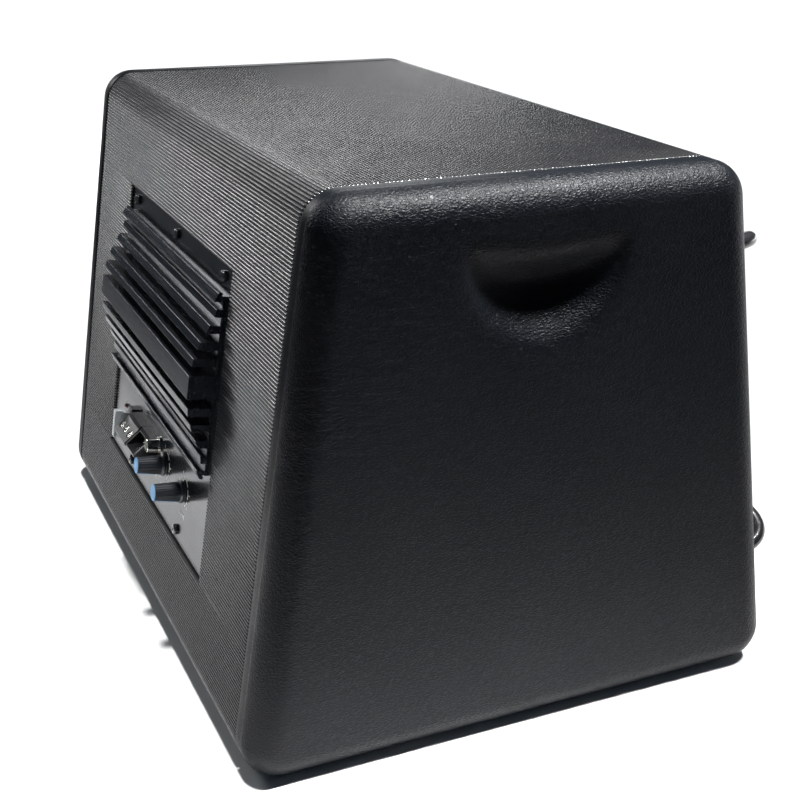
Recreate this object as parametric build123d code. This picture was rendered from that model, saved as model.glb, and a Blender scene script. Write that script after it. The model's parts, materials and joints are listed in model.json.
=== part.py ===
from build123d import *
import math
import os

# ---------------------------------------------------------------- driving dimensions, in mm
# Frame: +X along the cabinet, +Y out of the amplifier side, -Y out of the woofer side, +Z up.
# The origin is the middle of the underside.

LENGTH = 450.0
HEIGHT = 315.0
FOOT_HALF_DEPTH = 171.0
WOOFER_LEAN = 55.0
AMP_LEAN = 46.0
CORNER_RADIUS = 21.0
END_RADIUS = 17.0
CAP_REACH = 26.0
CAP_WALL = 4.0
CAP_SCREW_RADIUS = 1.9
WRAP = 1.6
BOARD = 15.0

# Finger recess pressed into each end cap
RECESS_Y = 4.5
RECESS_TOP = 279.0
RECESS_HALF_WIDTH = 45.0
RECESS_DEPTH = 17.0
RECESS_LIP_SAG = 4.5

# Amplifier plate, sunk in the rear face
PLATE_W = 223.4
PLATE_H = 185.4
PLATE_T = 2.0
PLATE_GAP = 0.3
PLATE_SINK = 1.9
PLATE_DOWN = 156.0
LIP = 1.2
GASKET_T = 1.5
OPENING_W = 200.0
OPENING_H = 158.0
PLATE_SCREW_RADIUS = 1.7
PLATE_SCREW_LENGTH = 12.5
SINK_SCREW_RADIUS = 1.45

# Heat sink: a fin is (distance of its middle from the block, inner edge height, outer edge height)
SINK_UP = 24.2
SINK_LENGTH = 213.0
SINK_BASE = 3.0
SINK_BLOCK_HALF = 6.8
SINK_BLOCK_HEIGHT = 17.8
FIN_T = 4.6
FINS = [(14.7, 16.8, 16.2), (24.3, 14.5, 13.0), (33.9, 10.6, 8.6), (43.2, 6.7, 6.0)]
LIP_FIN = [(49.7, 0), (49.7, 8.0), (54.6, 5.9), (55.4, 4.1), (54.2, 3.3), (52.6, 4.3), (52.0, 0)]

# Controls and sockets on the plate, (across, up) from the plate's middle
CONTROL_UP = -57.7
GAIN_ACROSS = 21.0
CROSSOVER_ACROSS = 63.0
KNOB_TURN_DEG = -60.0
TERMINAL_ACROSS = -37.75
TERMINAL_LENGTH = 27.5
TERMINAL_PITCH = 9.2
SOCKET_ACROSS = -12.9
SOCKET_LENGTH = 21.5
SOCKET_MOUTH = 9.0
SOCKET_DROP = 0.8
PLATE_SLOT_UP = -56.3
FUSE_ACROSS = -57.0
FUSE_UP = -59.5
RCA_ACROSS = 4.3
RCA_UP = (-51.5, -65.5)
LED_AT = (-82.0, -56.3)
RCA_RADIUS = 4.15
RCA_LENGTH = 8.8
SHAFT_RADIUS = 3.0
RUNNING = 0.05

# Woofer, 10 inch class, centred on the front face
WOOFER_UP = 3.5
FLANGE_RADIUS = 130.0
FLANGE_T = 4.5
CUTOUT_RADIUS = 117.5
LEDGE_RADIUS = 119.0
LEDGE_N = 1.0
ROLL_RADIUS = 9.5
ROLL_MIDDLE = 101.5
SKIN = 1.2
CONE_EDGE = 92.0
CONE_NECK = 25.45
CONE_NECK_N = -34.0
FORMER_RADIUS = 25.4
FORMER_WALL = 0.4
CAP_DOME_RADIUS = 38.0
CAP_DOME_HEIGHT = 14.0
SPIDER_N = -50.0
SPIDER_RADIUS = 62.0
WOOFER_SCREWS = 8
WOOFER_SCREW_PCD = 249.0
WOOFER_SCREW_RADIUS = 2.0

# Guard bars across the woofer
BAR_RADIUS = 4.5
BAR_FOOT_X = 193.0
BAR_FOOT_UP = 100.5
BAR_STANDOFF = 27.5
BAR_BEND = 18.0
BAR_BOW_DEG = 22.0
STUD_IN = 13.0
STUD_OUT = 15.0
STUD_RADIUS = 2.5

JUNCTION = LENGTH / 2 - CAP_REACH
PARTS = {}


# ---------------------------------------------------------------- helpers

def corners(inset):
    """Sharp corners of the cabinet's (Y, Z) section, moved in by inset: front foot, rear foot, rear top, front top."""
    woofer_shift = inset * math.hypot(WOOFER_LEAN, HEIGHT) / HEIGHT
    amp_shift = inset * math.hypot(AMP_LEAN, HEIGHT) / HEIGHT

    def front(z):
        return -FOOT_HALF_DEPTH + WOOFER_LEAN * z / HEIGHT + woofer_shift

    def rear(z):
        return FOOT_HALF_DEPTH - AMP_LEAN * z / HEIGHT - amp_shift

    low, high = inset, HEIGHT - inset
    return [(front(low), low), (rear(low), low), (rear(high), high), (front(high), high)]


def section(inset, rounded=True):
    """The cabinet's section face, in the YZ plane's own coordinates."""
    face = make_face(Polyline(*corners(inset), close=True))
    if rounded:
        face = fillet(face.vertices(), CORNER_RADIUS - inset)
    return face


def slab(face, x0, x1):
    """A (Y, Z) face run from x0 to x1 along the cabinet."""
    return extrude(Plane.YZ.offset(x0) * face, x1 - x0)


def rod(radius, low, high):
    """A cylinder along the local normal, from low to high."""
    return Pos(0, 0, low) * Cylinder(radius, high - low, align=(Align.CENTER, Align.CENTER, Align.MIN))


def tube(outer, inner, low, high):
    return rod(outer, low, high) - rod(inner, low - 1, high + 1)


def block(width, depth, low, high):
    """A box about the local normal, from low to high."""
    return Pos(0, 0, low) * Box(width, depth, high - low, align=(Align.CENTER, Align.CENTER, Align.MIN))


def turned(points):
    """A solid of revolution about the local normal from (radius, height) points."""
    return revolve(make_face(Plane.XZ * Polyline(*points, close=True)), Axis.Z)


def pan_screw(head_radius, head_height, shank_radius, shank_length):
    """A pan head screw with a cross recess, seated at height 0 and pointing down."""
    head = rod(head_radius, 0, head_height)
    head = fillet(head.faces().sort_by(Axis.Z)[-1].edges(), head_height * 0.55)
    recess_depth = head_height * 0.55
    for turn in (45, 135):
        head -= Rot(0, 0, turn) * block(head_radius * 1.1, head_radius * 0.26, head_height - recess_depth, head_height + 1)
    return head + rod(shank_radius, -shank_length, 0)


def group(solids):
    """Separate solids that share one node."""
    return Compound(children=list(solids))


front_slant = math.hypot(WOOFER_LEAN, HEIGHT)
rear_slant = math.hypot(AMP_LEAN, HEIGHT)
front_frame = Plane(
    origin=(0, -FOOT_HALF_DEPTH + WOOFER_LEAN / 2, HEIGHT / 2),
    x_dir=(1, 0, 0),
    z_dir=(0, -HEIGHT, WOOFER_LEAN),
) * Pos(0, WOOFER_UP, 0)
plate_share = PLATE_DOWN / rear_slant
rear_frame = Plane(
    origin=(0, FOOT_HALF_DEPTH - AMP_LEAN * (1 - plate_share), HEIGHT * (1 - plate_share)),
    x_dir=(-1, 0, 0),
    z_dir=(0, HEIGHT, AMP_LEAN),
)
plate_frame = rear_frame * Pos(0, 0, -PLATE_SINK)
UNDER = -PLATE_T
plate_screw_spots = [(-96.5, 86.0), (0.0, 86.0), (96.5, 86.0), (-56.0, -86.0), (56.0, -86.0)]
sink_screw_spots = [(x, SINK_UP + y) for x in (-92.0, 92.0) for y in (-FINS[2][0], FINS[2][0])]
standoff_spots = [(x, y) for x in (-82.0, 82.0) for y in (-30.0, 70.0)]
knob_spots = {"gain": GAIN_ACROSS, "crossover": CROSSOVER_ACROSS}
bar_foot_spots = [(x, y) for x in (-BAR_FOOT_X, BAR_FOOT_X) for y in (-BAR_FOOT_UP, BAR_FOOT_UP)]
woofer_screw_spots = [
    (WOOFER_SCREW_PCD / 2 * math.cos(a), WOOFER_SCREW_PCD / 2 * math.sin(a))
    for a in (math.radians(22.5 + 360 / WOOFER_SCREWS * k) for k in range(WOOFER_SCREWS))
]


# ---------------------------------------------------------------- cabinet boards

def board(side):
    """One mitred board of the cabinet's ring, side 0 to 3 in the order of corners()."""
    outer, inner = corners(WRAP), corners(WRAP + BOARD)
    following = (side + 1) % 4
    wedge = make_face(Polyline(outer[side], outer[following], inner[following], inner[side], close=True))
    return slab(wedge & section(WRAP), -JUNCTION, JUNCTION)


def front_baffle():
    solid = board(3)
    solid -= front_frame * rod(CUTOUT_RADIUS, -BOARD * 2, 1)
    for x, y in woofer_screw_spots:
        solid -= front_frame * Pos(x, y, 0) * rod(WOOFER_SCREW_RADIUS + RUNNING, -12, 1)
    for x, y in bar_foot_spots:
        solid -= front_frame * Pos(x, y, 0) * rod(STUD_RADIUS + RUNNING, -STUD_IN, 1)
    return solid


def rear_baffle():
    pocket_floor = -PLATE_T - GASKET_T
    solid = board(1)
    pocket = (2 * (PLATE_GAP + LIP), 2 * (PLATE_GAP + LIP))
    solid -= plate_frame * block(PLATE_W + pocket[0], PLATE_H + pocket[1], pocket_floor, 10)
    solid -= plate_frame * block(OPENING_W, OPENING_H, -BOARD * 2, 1)
    for x, y in plate_screw_spots:
        solid -= plate_frame * Pos(x, y, 0) * rod(PLATE_SCREW_RADIUS + RUNNING, -PLATE_SCREW_LENGTH - 0.5, 1)
    return solid


END_PANEL_INNER = JUNCTION - BOARD
cap_screw_spots = [(-110.0, 40.0), (110.0, 40.0), (85.0, 268.0), (-78.0, 268.0)]


def end_panel():
    solid = slab(section(WRAP + BOARD, rounded=False), -JUNCTION, -END_PANEL_INNER)
    for y, z in cap_screw_spots:
        solid -= Pos(-JUNCTION, y, z) * Rot(0, 90, 0) * rod(CAP_SCREW_RADIUS + 0.4, -1, BOARD + 1)
    return solid


PARTS["bottom_panel"] = board(0)
PARTS["rear_baffle"] = rear_baffle()
PARTS["top_panel"] = board(2)
PARTS["front_baffle"] = front_baffle()
PARTS["end_panel_left"] = end_panel()
PARTS["end_panel_right"] = mirror(end_panel(), about=Plane.YZ)


def glue_block(corner):
    """A triangular batten glued into one inner corner of the ring."""
    points = corners(WRAP + BOARD)
    here = Vector(*points[corner])
    legs = [Vector(*points[(corner + step) % 4]) - here for step in (1, -1)]
    reach = [here + leg.normalized() * 22 for leg in legs]
    face = make_face(Polyline((here.X, here.Y), *((r.X, r.Y) for r in reach), close=True))
    return slab(face, -END_PANEL_INNER + 0.5, END_PANEL_INNER - 0.5)


PARTS["corner_battens"] = group(glue_block(k) for k in range(4))


# ---------------------------------------------------------------- wrap and end caps

def vinyl_wrap():
    """The textured vinyl skin, turned down into the amplifier pocket."""
    length = JUNCTION - 0.6
    skin = slab(section(0), -length, length) - slab(section(WRAP), -length - 1, length + 1)
    skin -= front_frame * rod(CUTOUT_RADIUS + 1.5, -8, 8)
    for x, y in bar_foot_spots + woofer_screw_spots:
        skin -= front_frame * Pos(x, y, 0) * rod(2.8, -8, 8)
    hole = block(PLATE_W + 2 * PLATE_GAP, PLATE_H + 2 * PLATE_GAP, -8, 8)
    turned_in = block(PLATE_W + 2 * (PLATE_GAP + LIP), PLATE_H + 2 * (PLATE_GAP + LIP), UNDER - GASKET_T, 1.5)
    return skin + plate_frame * turned_in - plate_frame * hole


def recess_tool(grow):
    """The half-moon scoop of the finger recess: a ball, less a cone that leaves the sloping upper lip."""
    ball_radius = (RECESS_HALF_WIDTH**2 + RECESS_DEPTH**2) / (2 * RECESS_DEPTH)
    ball_at = Pos(-LENGTH / 2 - ball_radius + RECESS_DEPTH, RECESS_Y, RECESS_TOP)
    ball = ball_at * Rot(90, 0, 0) * Sphere(ball_radius + grow)
    lip_radius = (RECESS_HALF_WIDTH**2 + RECESS_LIP_SAG**2) / (2 * RECESS_LIP_SAG)
    run = 60.0
    start = lip_radius - run / 2 - grow * math.sqrt(2)
    lip = Pos(-LENGTH / 2, RECESS_Y, RECESS_TOP + lip_radius) * Rot(0, 90, 0) * Cone(start, start + run, run)
    return ball - lip


def end_cap():
    """The moulded end cap: a deep dished cover with a finger recess and four screw posts inside."""
    outer = slab(section(0), -LENGTH / 2, -JUNCTION - 0.2)
    outer = fillet(outer.faces().sort_by(Axis.X)[0].edges(), END_RADIUS)
    hollow = slab(section(CAP_WALL), -LENGTH / 2 + CAP_WALL, -JUNCTION + 1)
    hollow = fillet(hollow.faces().sort_by(Axis.X)[0].edges(), END_RADIUS - CAP_WALL)
    shell = outer - recess_tool(0) - (hollow - recess_tool(CAP_WALL))
    for y, z in cap_screw_spots:
        post = Rot(0, 90, 0) * tube(6.0, CAP_SCREW_RADIUS + RUNNING, 0, CAP_REACH - CAP_WALL - 0.2)
        shell += Pos(-LENGTH / 2 + CAP_WALL, y, z) * post
    return shell


PARTS["vinyl_wrap"] = vinyl_wrap()
left_cap = end_cap()
PARTS["end_cap_left"] = left_cap
PARTS["end_cap_right"] = mirror(left_cap, about=Plane.YZ)

cap_screws = [
    Pos(-END_PANEL_INNER, y, z) * Rot(0, 90, 0) * pan_screw(4.2, 2.8, CAP_SCREW_RADIUS, BOARD + 12)
    for y, z in cap_screw_spots
]
PARTS["end_cap_screws"] = group(cap_screws + [mirror(s, about=Plane.YZ) for s in cap_screws])


# ---------------------------------------------------------------- amplifier plate and heat sink

def amp_plate():
    solid = block(PLATE_W, PLATE_H, -PLATE_T, 0)
    solid = fillet(solid.edges().filter_by(Axis.Z), 2.0)
    for x, y in plate_screw_spots:
        solid -= Pos(x, y, 0) * rod(PLATE_SCREW_RADIUS + 0.3, -3, 1)
    for x, y in sink_screw_spots:
        solid -= Pos(x, y, 0) * rod(SINK_SCREW_RADIUS + 0.25, -3, 1)
    for across in knob_spots.values():
        solid -= Pos(across, CONTROL_UP, 0) * rod(3.8, -3, 1)
    for up in RCA_UP:
        solid -= Pos(RCA_ACROSS, up, 0) * rod(4.0, -3, 1)
    solid -= Pos(TERMINAL_ACROSS, PLATE_SLOT_UP, 0) * block(24.2, 7.2, -3, 1)
    solid -= Pos(SOCKET_ACROSS, PLATE_SLOT_UP, 0) * block(18.2, 7.2, -3, 1)
    solid -= Pos(FUSE_ACROSS, FUSE_UP, 0) * block(5.2, 18.2, -3, 1)
    solid -= Pos(*LED_AT, 0) * rod(1.6, -3, 1)
    return solid


def amp_gasket():
    low = UNDER - GASKET_T
    solid = block(PLATE_W - 1, PLATE_H - 1, low, UNDER) - block(OPENING_W, OPENING_H, low - 1, 1)
    for x, y in plate_screw_spots:
        solid -= Pos(x, y, 0) * rod(PLATE_SCREW_RADIUS + 0.3, low - 1, 1)
    return solid


def heat_sink():
    """Finned extrusion with a flat middle block, domed across its width, and a hooked lip along each side."""
    profile = Pos(0, SINK_BASE / 2) * Rectangle(2 * 53.0, SINK_BASE)
    profile += Pos(0, SINK_BLOCK_HEIGHT / 2) * Rectangle(2 * SINK_BLOCK_HALF, SINK_BLOCK_HEIGHT)
    for side in (-1, 1):
        for middle, inner, outer in FINS:
            near, far = side * (middle - FIN_T / 2), side * (middle + FIN_T / 2)
            profile += make_face(Polyline((near, 0), (near, inner), (far, outer), (far, 0), close=True))
        profile += make_face(Polyline(*((side * d, h) for d, h in LIP_FIN), close=True))
    tips = [v for v in profile.vertices() if v.Y > SINK_BASE + 0.5]
    profile = fillet(tips, 0.45)
    solid = extrude(Plane.YZ.offset(-SINK_LENGTH / 2) * profile, SINK_LENGTH)
    for x, y in sink_screw_spots:
        solid -= Pos(x, y - SINK_UP, 0) * rod(SINK_SCREW_RADIUS + RUNNING, -1, 7)
    return solid


PARTS["amp_plate"] = plate_frame * amp_plate()
PARTS["amp_gasket"] = plate_frame * amp_gasket()
PARTS["heat_sink"] = plate_frame * Pos(0, SINK_UP, 0) * heat_sink()
PARTS["amp_plate_screws"] = group(
    plate_frame * Pos(x, y, 0) * pan_screw(3.35, 2.3, PLATE_SCREW_RADIUS, PLATE_SCREW_LENGTH)
    for x, y in plate_screw_spots
)
PARTS["heat_sink_screws"] = group(
    plate_frame * Pos(x, y, UNDER) * Rot(180, 0, 0) * pan_screw(2.8, 2.0, SINK_SCREW_RADIUS, 8)
    for x, y in sink_screw_spots
)


# ---------------------------------------------------------------- amplifier electronics

BOARD_N = -28.0
BOARD_T = 1.6
BOARD_UP = 20.0


def circuit_board():
    solid = Pos(0, BOARD_UP, 0) * block(178, 112, BOARD_N - BOARD_T, BOARD_N)
    for x, y in standoff_spots:
        solid -= Pos(x, y, 0) * rod(1.6, BOARD_N - 3, BOARD_N + 1)
    return solid


def can_capacitor(x, y, radius, length):
    body = rod(radius, -length, 0)
    body = fillet(body.faces().sort_by(Axis.Z)[0].edges(), 1.0)
    return Pos(x, y, BOARD_N - BOARD_T) * body


def transistor(x):
    """A tabbed power transistor lying on the plate, with its legs down to the board."""
    body = Pos(x, 60, 0) * block(10, 15, UNDER - 4.5, UNDER)
    for step in (-2.54, 0, 2.54):
        body += Pos(x + step, 52, 0) * block(0.8, 2.4, UNDER - 3, UNDER - 2.2)
        body += Pos(x + step, 51.2, 0) * block(0.8, 0.8, BOARD_N, UNDER - 2.2)
    return body


transistor_spots = [-66.0, -44.0, -22.0, 22.0, 44.0, 66.0]
PARTS["circuit_board"] = plate_frame * circuit_board()
PARTS["board_standoffs"] = group(
    plate_frame * Pos(x, y, 0) * (rod(3.0, BOARD_N, UNDER) + rod(1.5, BOARD_N - 4, BOARD_N))
    for x, y in standoff_spots
)
PARTS["filter_capacitors"] = group(
    plate_frame * can_capacitor(x, y, 8, 30) for x, y in ((-70, 20), (-50, 20), (50, 20), (70, 20))
)
ring = fillet(tube(21, 9, BOARD_N - BOARD_T - 16, BOARD_N - BOARD_T).edges(), 4.0)
PARTS["toroid_transformer"] = plate_frame * Pos(0, 22, 0) * ring
PARTS["power_transistors"] = group(plate_frame * transistor(x) for x in transistor_spots)
PARTS["transistor_clamp"] = plate_frame * Pos(0, 62, 0) * block(150, 8, UNDER - 6.5, UNDER - 4.5)


# ---------------------------------------------------------------- terminal block, input socket, fuse

terminal_spots = [TERMINAL_ACROSS + TERMINAL_PITCH * k for k in (-1, 0, 1)]
TERMINAL_PROFILE = [
    (-49.4, 0), (-49.4, 5.2), (-51.6, 6.6), (-61.0, 15.5), (-62.4, 14.9), (-63.0, 13.4), (-63.0, 0),
]
TERMINAL_FACE = Plane(origin=(0, -56.3, 11.05), x_dir=(1, 0, 0), z_dir=(0, 8.9, 9.4)).location
SCREW_WELL = 3.0


def terminal_block():
    """Three-way screw block: wells for the screws in its sloping face, wire entries in its lower face."""
    start = TERMINAL_ACROSS - TERMINAL_LENGTH / 2
    outline = make_face(Polyline(*TERMINAL_PROFILE, close=True))
    solid = extrude(Plane.YZ.offset(start) * outline, TERMINAL_LENGTH)
    for x in terminal_spots:
        solid -= TERMINAL_FACE * Pos(x, 0, 0) * rod(SCREW_WELL, -2.2, 3)
        solid -= TERMINAL_FACE * Pos(x, 0, 0) * rod(1.6, -6.0, 3)
        solid -= Pos(x, -60.0, 0) * block(6.8, 7.0, 1.2, 7.2)
    return solid + Pos(TERMINAL_ACROSS, PLATE_SLOT_UP, 0) * block(24, 7, -5, 0)


def slotted_screw(radius, thickness, shank_radius, shank_length):
    head = rod(radius, 0, thickness)
    head = chamfer(head.faces().sort_by(Axis.Z)[-1].edges(), 0.3)
    head -= block(2 * radius + 1, 0.7, thickness - 0.7, thickness + 1)
    return head + rod(shank_radius, -shank_length, 0)


def input_socket():
    """Four-way speaker-level input: a box header whose mouth slopes like the face of the terminal block."""
    outline = make_face(Polyline(*((up, max(out - SOCKET_DROP, 0)) for up, out in TERMINAL_PROFILE), close=True))
    solid = extrude(Plane.YZ.offset(SOCKET_ACROSS - SOCKET_LENGTH / 2) * outline, SOCKET_LENGTH)
    solid -= Pos(SOCKET_ACROSS, PLATE_SLOT_UP, 0) * block(SOCKET_LENGTH - 3, SOCKET_MOUTH, 3, 20)
    return solid + Pos(SOCKET_ACROSS, PLATE_SLOT_UP, 0) * block(18, 7, -5, 0)


def blade_fuse_body():
    """The moulded body of a blade fuse, 19 mm wide, waisted above its two feet."""
    outline = [(-9.5, 14.9), (9.5, 14.9), (9.5, 9.4), (8.2, 9.4), (8.2, 4.4), (-8.2, 4.4), (-8.2, 9.4), (-9.5, 9.4)]
    solid = extrude(Plane.YZ.offset(-2.5) * make_face(Polyline(*outline, close=True)), 5.0)
    solid = fillet(solid.edges().filter_by(Axis.X), 0.4)
    for side in (-1, 1):
        solid -= Pos(side * 2.5, 0, 0) * block(1.6, 9.0, 6.2, 13.2)
        solid -= Pos(0, side * 5.4, 0) * block(0.9, 5.3, 3, 12)
    return solid


fuse_frame = plate_frame * Pos(FUSE_ACROSS, FUSE_UP, 0)
fuse_holder = block(8, 22, 0, 4.2) + block(5, 18, -5, 0)
for side in (-1, 1):
    fuse_holder -= Pos(0, side * 5.4, 0) * block(1.0, 5.5, -3, 5)
PARTS["terminal_block"] = plate_frame * terminal_block()
PARTS["terminal_screws"] = group(
    plate_frame * TERMINAL_FACE * Pos(x, 0, -2.1) * Rot(0, 0, 20 + 25 * k) * slotted_screw(2.6, 1.7, 1.5, 1.8)
    for k, x in enumerate(terminal_spots)
)
PARTS["input_socket"] = plate_frame * input_socket()
PARTS["socket_pins"] = group(
    plate_frame * Pos(SOCKET_ACROSS + step, up, 0) * block(0.9, 0.9, 3, tip)
    for step in (-4.5, 4.5)
    for up, tip in ((-58.4, 10.8), (-54.2, 6.9))
)
PARTS["fuse_holder"] = fuse_frame * fuse_holder
PARTS["blade_fuse"] = fuse_frame * blade_fuse_body()
PARTS["fuse_blades"] = group(fuse_frame * Pos(0, y, 0) * block(0.7, 5.1, -2.5, 11) for y in (-5.4, 5.4))


# ---------------------------------------------------------------- phono jacks and status light

rca_shell = turned([
    (3.7, UNDER - 2), (3.9, UNDER - 2), (3.9, 0), (6.0, 0), (6.0, 1.0),
    (RCA_RADIUS, 1.0), (RCA_RADIUS, RCA_LENGTH - 0.3), (RCA_RADIUS - 0.25, RCA_LENGTH), (3.7, RCA_LENGTH),
])
rca_core = tube(3.65, 1.6, UNDER - 2, RCA_LENGTH - 1.0) - tube(5, 2.6, RCA_LENGTH - 4.5, RCA_LENGTH)
rca_contact = tube(1.55, 1.15, UNDER - 4, RCA_LENGTH - 2.2)
for name, solid in (("rca_shells", rca_shell), ("rca_insulators", rca_core), ("rca_contacts", rca_contact)):
    PARTS[name] = group(plate_frame * Pos(RCA_ACROSS, up, 0) * solid for up in RCA_UP)
led_dome = Pos(0, 0, 0.4) * Sphere(1.5) - block(8, 8, -9, 0.4)
PARTS["status_led"] = plate_frame * Pos(*LED_AT, 0) * (rod(1.5, UNDER - 3, 0.4) + led_dome)


# ---------------------------------------------------------------- level and crossover controls

KNOB_LOW = 0.8
KNOB_TOP = 18.6
KNOB_CAP_TOP = 19.0
KNOB_RIBS = 20
GRIP_LOW = KNOB_LOW + 2.7
GRIP_LOW_RADIUS = 6.15
GRIP_TOP_RADIUS = 5.05
KNOB_TURN = Rot(0, 0, KNOB_TURN_DEG)


def knob_body():
    """Push-on knob: a flanged skirt hollowed over the nut, a tapered ribbed grip and a bore for the shaft."""
    solid = turned([
        (0, KNOB_LOW), (6.7, KNOB_LOW), (7.1, KNOB_LOW + 0.4), (7.1, KNOB_LOW + 1.7), (6.6, KNOB_LOW + 2.3),
        (GRIP_LOW_RADIUS, GRIP_LOW), (GRIP_TOP_RADIUS, KNOB_TOP), (0, KNOB_TOP),
    ])
    lean = math.degrees(math.atan2(GRIP_LOW_RADIUS - GRIP_TOP_RADIUS, KNOB_TOP - GRIP_LOW))
    groove = Pos(GRIP_LOW_RADIUS + 0.05, 0, GRIP_LOW + 0.8) * Rot(0, -lean, 0) * rod(0.42, 0, 20)
    for k in range(KNOB_RIBS):
        solid -= Rot(0, 0, 360 / KNOB_RIBS * (k + 0.5)) * groove
    return solid - rod(5.7, KNOB_LOW - 1, 2.3) - rod(SHAFT_RADIUS + 0.02, KNOB_LOW - 1, 14.2)


def knob_cap():
    """Coloured end disc with a pointer strip that runs down the side of the grip."""
    disc = fillet(rod(4.95, KNOB_TOP, KNOB_CAP_TOP).faces().sort_by(Axis.Z)[-1].edges(), 0.25)
    strip = make_face(Plane.XZ * Polyline(
        (4.6, KNOB_TOP), (4.95, KNOB_TOP + 0.1), (5.15, KNOB_TOP), (GRIP_LOW_RADIUS + 0.1, GRIP_LOW),
        (GRIP_LOW_RADIUS - 0.45, GRIP_LOW), close=True,
    ))
    return disc + extrude(strip, 0.45, both=True)


def pot_body():
    """Rotary control behind the plate, with its threaded bushing through the plate."""
    bushing = tube(3.5, SHAFT_RADIUS + RUNNING, UNDER - 0.5, 1.7)
    can = rod(8.0, UNDER - 9.5, UNDER) - rod(SHAFT_RADIUS + RUNNING, UNDER - 6, 1)
    return can + bushing + Pos(0, 9.5, 0) * block(10, 6, UNDER - 9.0, UNDER - 7.8)


notch = extrude(
    make_face(Plane.XZ * Polyline(
        (4.55, KNOB_CAP_TOP), (9, KNOB_CAP_TOP), (9, GRIP_LOW - 0.1), (GRIP_LOW_RADIUS - 0.5, GRIP_LOW - 0.1), close=True,
    )), 0.5, both=True,
)
for name, across in knob_spots.items():
    spot = plate_frame * Pos(across, CONTROL_UP, 0)
    PARTS[name + "_control"] = spot * pot_body()
    PARTS[name + "_shaft"] = spot * rod(SHAFT_RADIUS, UNDER - 5.5, 14.0)
    PARTS[name + "_knob"] = spot * KNOB_TURN * (knob_body() - notch)
    PARTS[name + "_knob_cap"] = spot * KNOB_TURN * knob_cap()
nut = extrude(RegularPolygon(5.2, 6), 1.5) - rod(3.52, -1, 3)
PARTS["control_nuts"] = group(plate_frame * Pos(x, CONTROL_UP, 0) * nut for x in knob_spots.values())


# ---------------------------------------------------------------- woofer

def basket():
    """Stamped frame: mounting flange with a ledge for the surround, six legs, spider shelf and a flat back."""
    flange = turned([
        (111, 0), (FLANGE_RADIUS - 0.5, 0), (FLANGE_RADIUS, 0.6), (FLANGE_RADIUS, FLANGE_T - 1.4),
        (FLANGE_RADIUS - 1.4, FLANGE_T), (LEDGE_RADIUS + 0.3, FLANGE_T), (LEDGE_RADIUS + 0.3, LEDGE_N), (111, LEDGE_N),
    ])
    wall = turned([
        (111, LEDGE_N), (115, LEDGE_N), (115, -8), (73, -46), (73, -54), (62, -64), (40, -64),
        (40, -61.5), (60.8, -61.5), (66, -56.8), (66, -53.2), (56, -53.2), (56, -51.2), (70, -51.2), (70, -45), (111, -8),
    ])
    window = Pos(92, 0, -27) * Rot(0, 42, 0) * Box(40, 66, 30)
    for k in range(6):
        wall -= Rot(0, 0, 60 * k + 30) * window
    solid = flange + wall
    for x, y in woofer_screw_spots:
        solid -= Pos(x, y, 0) * rod(2.4, -1, 9)
    return solid


def surround():
    """Rubber half-roll between the frame's ledge and the cone's edge."""
    low = LEDGE_N
    outer_foot, inner_foot = ROLL_MIDDLE + ROLL_RADIUS, ROLL_MIDDLE - ROLL_RADIUS
    top = low + SKIN
    with_roll = [
        Line((LEDGE_RADIUS, low), (outer_foot - SKIN, low)),
        ThreePointArc((outer_foot - SKIN, low), (ROLL_MIDDLE, low + ROLL_RADIUS - SKIN), (inner_foot + SKIN, low)),
        Line((inner_foot + SKIN, low), (84.5, low)),
        Line((84.5, low), (84.5, top)),
        Line((84.5, top), (inner_foot, top)),
        ThreePointArc((inner_foot, top), (ROLL_MIDDLE, top + ROLL_RADIUS), (outer_foot, top)),
        Line((outer_foot, top), (LEDGE_RADIUS, top)),
        Line((LEDGE_RADIUS, top), (LEDGE_RADIUS, low)),
    ]
    return revolve(make_face(Plane.XZ * Wire(with_roll)), Axis.Z)


def cone():
    """Paper cone with a flat glued edge and a short neck on the coil former."""
    rise = LEDGE_N - CONE_NECK_N
    return turned([
        (CONE_EDGE - 0.5, LEDGE_N), (84.0, LEDGE_N), (CONE_NECK, LEDGE_N - rise + 3), (CONE_NECK, LEDGE_N - rise - 2),
        (CONE_NECK + 1.6, LEDGE_N - rise - 2), (CONE_NECK + 2.6, LEDGE_N - rise + 1.4), (85.0, LEDGE_N - 1.5),
        (CONE_EDGE - 0.5, LEDGE_N - 1.5),
    ])


def dome(radius, height, thickness, foot_n):
    """A thin spherical cap on a circular foot."""
    ball = (radius**2 + height**2) / (2 * height)
    middle = foot_n + height - ball
    shell = Pos(0, 0, middle) * (Sphere(ball) - Sphere(ball - thickness))
    return shell - block(4 * ball, 4 * ball, middle - 2 * ball, foot_n)


def spider():
    """Corrugated suspension disc between the coil former and the frame's shelf."""
    waves, inner, outer = 4, FORMER_RADIUS + 4.5, 54.0
    pitch = (outer - inner) / (2 * waves)
    upper = [(FORMER_RADIUS + 0.05, SPIDER_N + 0.8), (inner, SPIDER_N + 0.8)]
    for k in range(2 * waves):
        crest = 2.2 if k % 2 else -2.2
        upper.append((inner + pitch * (k + 0.5), SPIDER_N + 0.8 + crest))
    upper += [(outer, SPIDER_N + 0.8), (SPIDER_RADIUS, SPIDER_N - 0.4), (SPIDER_RADIUS + 4, SPIDER_N - 0.4)]
    lower = [(r, n - 0.8) for r, n in reversed(upper)]
    return turned(upper + lower)


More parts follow.
